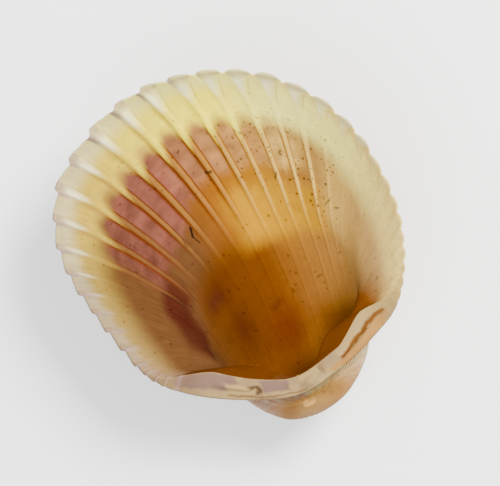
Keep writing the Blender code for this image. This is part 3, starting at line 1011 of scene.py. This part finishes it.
def edge_and_plate(w, at, colour):
    """The outer side of the edge darkened as painted shade, the shadowed shelf under the plate, and
    the plate.
    """
    plate, across = w.attribute("plate"), w.attribute("across")
    beside = w.times(w.add("ShaderNodeSeparateXYZ", {0: at.spot}).outputs["X"], 1.0 / MM)
    ragged_beside = w.shifted(w.shifted(beside, at.slow, 5.0), at.fine, 2.5)
    ragged_across = w.shifted(w.shifted(across, at.slow, 0.3), at.fine, 0.25)
    bone = w.mix(w.step(at.slow, -0.12, 0.16), BONE, OLD_BONE)
    for tone, beside_span, across_span, strength in PLATE_STAINS_AND_SHADE:
        mask = patch(w, ragged_beside, ragged_across, beside_span, across_span, PLATE_BLURS)
        bone = w.coated(bone, (mask, strength, tone))
    # The outer part of the edge is made up to 28 percent darker, as painted shade.
    colour = w.shaded(colour, w.shifted(1.0, w.step(across, 1.0, 0.7), -0.28))
    shelf = w.times(w.step(plate, 0.35, 0.8), w.between(at.turn, *SHELF_TURNS))
    return w.coated(colour, (shelf, 0.9, DARK_UMBER), (plate, w.step(at.turn, 2.0, 0.4), bone))


def hollow_material():
    """The hollow, the edge and the hinge plate.

    Colours follow the rib phase round the margin and the turn back from it: a cream rim, a
    lemon band, mauve bars between pale ridges, gold, and deep umber past a wavering border.
    """
    material, shader, w = start_material("shell_hollow", 0.0)
    at = hollow_places(w)
    past_band, beyond_band = band_end(w, at)
    colour = bars_and_ridges(w, at, past_band, middle_and_depth(w, at))
    colour = w.mix(beyond_band, rim_and_band(w, at), colour)
    colour = edge_and_plate(w, at, sand_and_marks(w, at, colour))
    w.feed(shader.inputs["Base Color"], colour)

    threads = w.effect(GROWTH_THREADS, Rib=at.rib, Turn=at.turn, Threads=1.2)["Height"]
    add_bump(w, shader, 0.5, HOLLOW_BUMP, w.shifted(w.times(threads, 0.5), at.streak, 0.8))
    w.feed(shader.inputs["Roughness"], w.shifted(0.52, at.slow, 0.25))
    return material


def outside_material():
    """The ribbed outside: cream ribs with fine cross threads, grooves with a stain, and one flank
    of each rib darkened as painted shade.

    Colours change round the shell from yellow on the right to pink and grey on the left. The
    margin is greyer, growth bands cross the ribs, and the beak is worn and golden.
    """
    material, shader, w = start_material("shell_outside", 0.15)
    spot = w.add("ShaderNodeTexCoord").outputs["Object"]
    rib, turn = w.attribute("rib"), w.attribute("turn")
    noise = w.effect(SHELL_NOISE, Vector=spot, Slow_Scale=150.0, Fine_Scale=900.0)
    slow, fine = noise["Slow"], noise["Fine"]

    bands = w.noise(w.place(w.times(rib, 0.10), w.times(turn, 0.20)), 1.0, 4.0, 0.65)
    margin = w.step(w.shifted(turn, slow, 10.0), 17.0, 1.0)
    crest = w.coated(w.tones(rib, CREST_TONES),
                     (w.step(bands, 0.46, 0.62), 0.7, w.tones(rib, WORN_TONES)),
                     (margin, 0.6, w.tones(rib, MARGIN_TONES)))

    part = w.maths("FRACT", w.shifted(rib, fine, 0.04))
    from_groove = w.maths("MINIMUM", part, w.less(1.0, part))
    # One flank of each rib, tinted with the groove's colours as painted shade.
    shadow_side = w.between(part, (0.0, 0.10), (0.42, 0.12))
    groove = w.step(w.shifted(from_groove, slow, 0.06), 0.20, 0.07)
    stain_and_shadow_side = w.maths("MAXIMUM", groove, w.times(shadow_side, 0.55))
    fade = w.times(w.step(turn, 0.0, 5.0), w.shifted(0.86, slow, 0.8))
    golden = w.step(w.shifted(turn, slow, 40.0), 70.0, 120.0)
    worn = w.step(w.shifted(turn, slow, 60.0), 135.0, 175.0)
    colour = w.coated(crest, (stain_and_shadow_side, fade, w.tones(rib, GROOVE_TONES)), (golden, 0.85, GOLD),
                      (worn, 0.45, TAN))

    beads = w.maths("SINE", w.shifted(w.times(turn, BEADS_PER_DEGREE * math.tau), slow, 9.0))
    beads = w.times(beads, w.step(from_groove, 0.10, 0.24))
    colour = w.shaded(colour, w.shifted(1.0, beads, 0.05))
    specks = w.effect(SAND_SPECKS, Vector=spot, Cells=950.0, Share=0.16)["Mask"]
    colour = w.coated(colour, (specks, w.shifted(0.08, groove, 0.7), DRAB))
    colour = w.shaded(colour, w.shifted(1.0, fine, 0.24))
    w.feed(shader.inputs["Base Color"], colour)

    threads = w.effect(GROWTH_THREADS, Rib=rib, Turn=turn, Threads=2.6)["Height"]
    height = w.shifted(w.shifted(w.times(beads, 0.42), threads, 0.8), fine, 0.5)
    add_bump(w, shader, 0.8, OUTSIDE_BUMP, height)
    w.feed(shader.inputs["Roughness"], w.shifted(0.58, slow, 0.25))
    return material


def new_object(name, data):
    """An object in the scene, with its data."""
    thing = bpy.data.objects.new(name, data)
    bpy.context.scene.collection.objects.link(thing)
    return thing


rows, values = valve_grid()
valve_mesh = skin_mesh("cockle_valve", rows, values)
valve = new_object("cockle_valve", valve_mesh)
valve_mesh.materials.append(outside_material())
valve_mesh.materials.append(hollow_material())
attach(valve, "root")
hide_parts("valve")

# Camera: azimuth, elevation and roll of the photo's view of the valve, before both are tilted.
VIEW_AZIMUTH = 93.25
VIEW_ELEVATION = 75.44
VIEW_ROLL = -118.97
VIEW_DISTANCE = 0.410
LENS = 194.0

# Lamps: name, direction by the view's right, up and back, distance, size, power, colour.
LAMPS = [
    ("key_lamp", (0.38, 0.45, 1.0), 0.5, 0.16, 8.5, (1.0, 0.985, 0.96)),
    ("fill_lamp", (-0.4, -0.7, 0.8), 0.6, 0.5, 3.0, (0.96, 0.98, 1.0)),
]
ROOM_COLOUR = (0.95, 0.97, 1.0, 1.0)
ROOM_STRENGTH = 1.6
FLOOR_REACH = 2.0


def view_axes():
    """Right, up and back of the camera: level axes, rolled about back and tilted as the valve."""
    a, e, r = (math.radians(v) for v in (VIEW_AZIMUTH, VIEW_ELEVATION, VIEW_ROLL))
    back = Vector((math.sin(a) * math.cos(e), -math.cos(a) * math.cos(e), math.sin(e)))
    level = Vector((math.cos(a), math.sin(a), 0.0))
    rise = back.cross(level)
    right = math.cos(r) * level + math.sin(r) * rise
    up = -math.sin(r) * level + math.cos(r) * rise
    return REST_TILT @ right, REST_TILT @ up, REST_TILT @ back


def place_camera(target, right, up, back):
    camera = new_object("camera", bpy.data.cameras.new("camera"))
    camera.data.lens = LENS
    camera.data.clip_start = 0.01
    turn = Matrix((right, up, back)).transposed()
    camera.matrix_world = Matrix.Translation(target + back * VIEW_DISTANCE) @ turn.to_4x4()
    bpy.context.scene.camera = camera


def soft_light(name, target, direction, distance, size, power, colour):
    """Square area lamp at target + distance x direction, facing the target."""
    lamp = bpy.data.lights.new(name, "AREA")
    lamp.size = size
    lamp.energy = power
    lamp.color = colour
    holder = new_object(name, lamp)
    direction = direction.normalized()
    holder.location = target + direction * distance
    holder.rotation_mode = "QUATERNION"
    holder.rotation_quaternion = direction.to_track_quat("Z", "Y")


low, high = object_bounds()
middle = (low + high) / 2
right, up, back = view_axes()
place_camera(middle, right, up, back)
for name, (beside, above, before), distance, size, power, colour in LAMPS:
    direction = right * beside + up * above + back * before
    soft_light(name, middle, direction, distance, size, power, colour)

floor_mesh = bpy.data.meshes.new("floor")
corners = [(FLOOR_REACH * x, FLOOR_REACH * y, 0.0) for x, y in ((-1, -1), (1, -1), (1, 1), (-1, 1))]
floor_mesh.from_pydata(corners, [], [(0, 1, 2, 3)])
floor = new_object("floor", floor_mesh)
floor_mesh.materials.append(floor_material())

world = bpy.data.worlds.new("pale_room")
world.use_nodes = True
background = world.node_tree.nodes["Background"].inputs
background["Color"].default_value = ROOM_COLOUR
background["Strength"].default_value = ROOM_STRENGTH
bpy.context.scene.world = world
